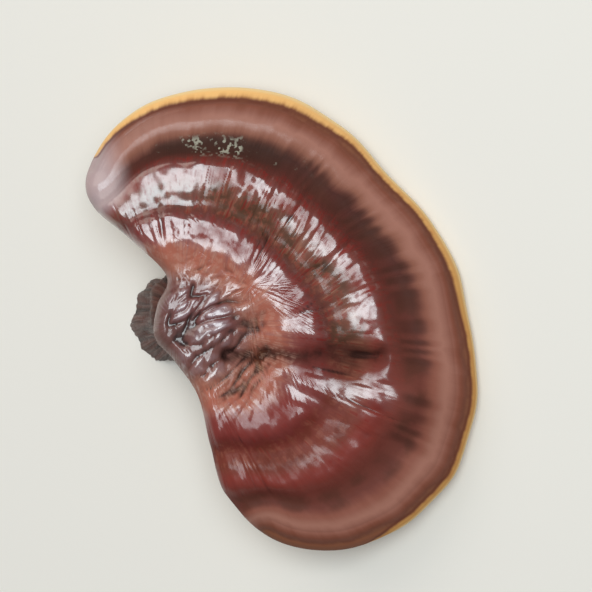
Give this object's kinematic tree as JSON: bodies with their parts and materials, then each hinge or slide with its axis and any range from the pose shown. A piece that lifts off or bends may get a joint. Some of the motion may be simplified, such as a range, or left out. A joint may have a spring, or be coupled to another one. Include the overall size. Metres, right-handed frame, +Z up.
{
  "type": "reishi mushroom",
  "caption": "Dried bracket mushroom: a kidney-shaped, ringed, varnished cap on a short sideways stem cut off flat.",
  "frame": {"origin": "on the resting plane, under the centre of the bounding box", "axes": "+Z up from the resting plane, -Y from the stem towards the front of the rim, +X towards the smaller lobe"},
  "size_m": [0.0984, 0.0706, 0.0269],
  "materials": {
    "crust": "varnished, red-brown with an ochre rim",
    "bark": "satin, dark brown"
  },
  "bodies": {
    "root": {"cap": "crust", "stem": "bark"}
  },
  "joints": []
}
